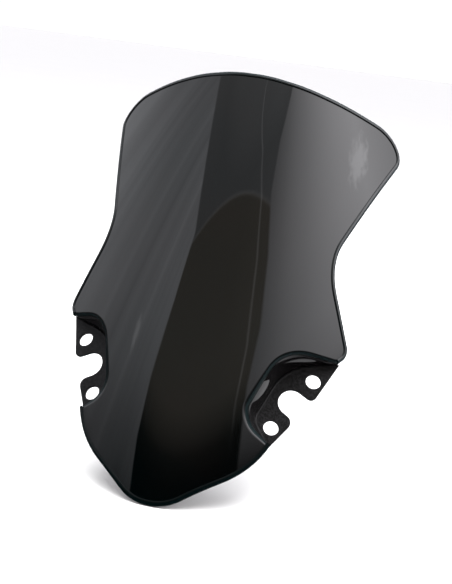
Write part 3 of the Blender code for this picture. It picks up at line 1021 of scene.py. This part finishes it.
class WorldGraph(NodeGraph):
    """The world's nodes: soft light whose strength depends on the direction it comes from."""

    def __init__(self):
        world = bpy.data.worlds.new("studio")
        bpy.context.scene.world = world
        world.use_nodes = True
        super().__init__(world.node_tree, "Generated")
        split = self.nodes.new("ShaderNodeSeparateXYZ")
        self.links.new(self.coords, split.inputs["Vector"])
        self.x, self.y, self.z = (split.outputs[axis] for axis in "XYZ")
        turn = self.math("ARCTAN2", self.x, self.math("MULTIPLY", self.y, -1.0))
        self.azimuth = self.math("MULTIPLY", turn, math.degrees(1.0))
        self.elevation = self.math("MULTIPLY", self.math("ARCSINE", self.z), math.degrees(1.0))

    def curve(self, value, stops, limits):
        """A number that follows (position, level) stops, with straight lines between them."""
        lowest, highest = limits
        ramp = self.nodes.new("ShaderNodeValToRGB")
        low = min(level for _, level in stops)
        span = max(level for _, level in stops) - low
        while len(ramp.color_ramp.elements) < len(stops):
            ramp.color_ramp.elements.new(0.5)
        for element, (position, level) in zip(ramp.color_ramp.elements, stops):
            element.position = (position - lowest) / (highest - lowest)
            height = (level - low) / span
            element.color = (height, height, height, 1.0)
        self.links.new(self.mapped(value, limits, FULL_RANGE), ramp.inputs["Fac"])
        return self.math("MULTIPLY_ADD", ramp.outputs["Color"], float(span), float(low))

    def around(self, stops):
        return self.curve(self.azimuth, stops, AZIMUTHS)

    def upward(self, stops):
        return self.curve(self.elevation, stops, ELEVATIONS)

    def product(self, first, second):
        return self.math("MULTIPLY", first, second)

    def height_on_plane(self, facing):
        """Height over the horizon, in distances, on an upright plane that faces an azimuth."""
        angle = math.radians(facing)
        along = self.math("ADD", self.product(self.x, math.sin(angle)),
                          self.product(self.y, -math.cos(angle)))
        shortest = 0.001
        return self.math("DIVIDE", self.z, self.math("MAXIMUM", along, shortest))

    def peak(self, value, width):
        """1 where the value is 0, falling to 0 at width on either side."""
        return self.mapped(self.math("ABSOLUTE", value), (0.0, width), (1.0, 0.0))

    def glint(self, azimuth, elevation, radius):
        """1 round a direction, falling to 0 at about radius degrees from it, with a ragged outline."""
        turn, climb = math.radians(azimuth), math.radians(elevation)
        toward = (math.sin(turn) * math.cos(climb), -math.cos(turn) * math.cos(climb), math.sin(climb))
        angle = self.math("ARCCOSINE", self.vector("DOT_PRODUCT", self.coords, toward))
        swing = GLINT_RAGGEDNESS * radius
        ragged = self.mapped(self.noise(GLINT_BREAKS), (0.3, 0.7), (-swing, swing))
        away = self.math("ADD", self.product(angle, math.degrees(1.0)), ragged)
        return self.mapped(away, (0.5 * radius, radius), (1.0, 0.0))

    def tinted(self, strength, colour):
        return self.vector("SCALE", colour, strength)

    def added(self, first, second):
        return self.vector("ADD", first, second)

    def folds(self):
        """Soft slanting folds in the cloth of the left source."""
        across = self.math("SUBTRACT", self.azimuth, self.product(self.elevation, FOLD_SLANT))
        texture = self.nodes.new("ShaderNodeTexNoise")
        texture.noise_dimensions = "1D"
        texture.inputs["Scale"].default_value = FOLD_SCALE
        texture.inputs["Detail"].default_value = 3.0
        texture.inputs["Roughness"].default_value = FOLD_ROUGHNESS
        self.links.new(across, texture.inputs["W"])
        return self.mapped(texture.outputs["Fac"], (0.3, 0.7), (1.0 - FOLD_DEPTH, 1.0 + FOLD_DEPTH))


def left_source(sky):
    """The left source's light, and 1 where it is seen."""
    from_edge = sky.math("SUBTRACT", sky.azimuth, sky.upward(LEFT_EDGE))
    over_top = sky.math("SUBTRACT", sky.height_on_plane(LEFT_FACING), LEFT_TOP)
    inside = sky.product(sky.mapped(from_edge, (-EDGE_SOFTNESS, EDGE_SOFTNESS), (1.0, 0.0)),
                         sky.mapped(over_top, (-TOP_SOFTNESS, TOP_SOFTNESS), (1.0, 0.0)))
    past_fall = sky.math("MAXIMUM", sky.math("SUBTRACT", LEFT_FALL_FROM, sky.azimuth), 0.0)
    slanted = sky.math("ADD", sky.elevation, sky.product(past_fall, LEFT_FALL_SLANT))
    level = sky.product(sky.around(LEFT_AROUND), sky.curve(slanted, LEFT_UPWARD, ELEVATIONS))
    level = sky.product(level, sky.folds())
    return sky.tinted(sky.product(level, inside), LEFT_COOL), inside


def right_source(sky):
    """The right source's light, and 1 where it is seen."""
    from_edge = sky.math("SUBTRACT", sky.azimuth, sky.upward(RIGHT_EDGE))
    inside = sky.mapped(from_edge, (-EDGE_SOFTNESS, EDGE_SOFTNESS), (0.0, 1.0))
    level = sky.product(sky.around(RIGHT_AROUND), sky.upward(RIGHT_UPWARD))
    return sky.tinted(sky.product(level, inside), RIGHT_COOL), inside


def front_room(sky, inside):
    """The dim room's light where inside is 1: warm under its top edge, cool above it and on its lines."""
    over_top = sky.math("SUBTRACT", sky.height_on_plane(FRONT_FACING), FRONT_TOP)
    above = sky.mapped(over_top, (-TOP_SOFTNESS, TOP_SOFTNESS), (0.0, 1.0))
    upward = sky.upward(FRONT_UPWARD)
    room = sky.product(sky.around(FRONT_AROUND), upward)
    room_above = sky.product(sky.product(room, FRONT_ABOVE), above)
    room_below = sky.product(room, sky.math("SUBTRACT", 1.0, above))
    from_slit = sky.math("SUBTRACT", sky.azimuth, sky.upward(SLIT_AZIMUTH))
    slit = sky.product(sky.peak(from_slit, SLIT_WIDTH), SLIT_LEVEL)
    top_line = sky.product(sky.peak(over_top, EDGE_LINE_WIDTH), EDGE_LINE_LEVEL)
    lines = sky.product(sky.math("ADD", slit, top_line), upward)
    cool_level = sky.product(sky.math("ADD", room_above, lines), inside)
    return sky.added(sky.tinted(sky.product(room_below, inside), FRONT_WARM),
                     sky.tinted(cool_level, ABOVE_COOL))


def light_studio():
    """Soft light all round: two broad sources at the sides, a dim front, and white for the camera."""
    sky = WorldGraph()
    left, in_left = left_source(sky)
    right, in_right = right_source(sky)
    in_front = sky.math("SUBTRACT", sky.math("SUBTRACT", 1.0, in_left), in_right)
    glow = sky.added(sky.added(left, right), front_room(sky, in_front))
    glow = sky.added(glow, sky.tinted(sky.upward(ZENITH), ABOVE_COOL))
    glow = sky.vector("SCALE", glow, sky.mapped(sky.elevation, GROUND_FADE, FULL_RANGE))
    ground = sky.product(sky.around(GROUND_AROUND), sky.upward(GROUND_UPWARD))
    glow = sky.added(glow, sky.tinted(ground, ABOVE_COOL))
    for azimuth, elevation, radius, level in GLINTS:
        spot = sky.product(sky.glint(azimuth, elevation, radius), level)
        glow = sky.added(glow, sky.tinted(spot, ABOVE_COOL))
    seen_by_camera = sky.nodes.new("ShaderNodeLightPath").outputs["Is Camera Ray"]
    colour = sky.mixed("VECTOR", seen_by_camera, glow, CAMERA_WHITE)
    sky.links.new(colour, sky.nodes["Background"].inputs["Color"])
    bpy.context.scene.view_settings.view_transform = "Standard"


# ---- Assembly ----

def main():
    panel = build_panel()
    upper = build_bead("upper_bead", upper_outline())
    lower = build_bead("lower_bead", lower_outline())
    left = build_ear("left_ear", LEFT)
    right = build_ear("right_ear", RIGHT)
    smoke, edge, pad, wall = smoke_material(), edge_material(), pad_material(), wall_material()
    # Painted light on one trim material: the upper bead takes a lit copy of its colours, with a stronger
    # specular, and the lower bead a shaded copy
    upper_teal_painted_lit = bead_material("upper_bead_teal_painted_lit", UPPER_BEAD_OUTER_PAINTED_LIT, UPPER_BEAD_INNER_PAINTED_SHADE, UPPER_BEAD_SPECULAR)
    lower_teal_painted_shade = bead_material("lower_bead_teal_painted_shade", LOWER_BEAD_OUTER_PAINTED_SHADE, LOWER_BEAD_INNER_PAINTED_SHADE, LOWER_BEAD_SPECULAR)
    plan = [
        (panel, (smoke, edge), "smoke_panel", "screen_panel"),
        (upper, (upper_teal_painted_lit,), "edge_trim", "upper_edge_trim"),
        (lower, (lower_teal_painted_shade,), "edge_trim", "lower_edge_trim"),
        (left, (pad, edge, wall), "mount_ear", "left_mount_ear"),
        (right, (pad, edge, wall), "mount_ear", "right_mount_ear"),
    ]
    for piece, materials, slot, node in plan:
        for material in materials:
            piece.data.materials.append(material)
        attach(piece, "root")
        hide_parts(node)
    place_camera()
    lay_floor()
    hang_overhead_light()
    light_studio()


main()
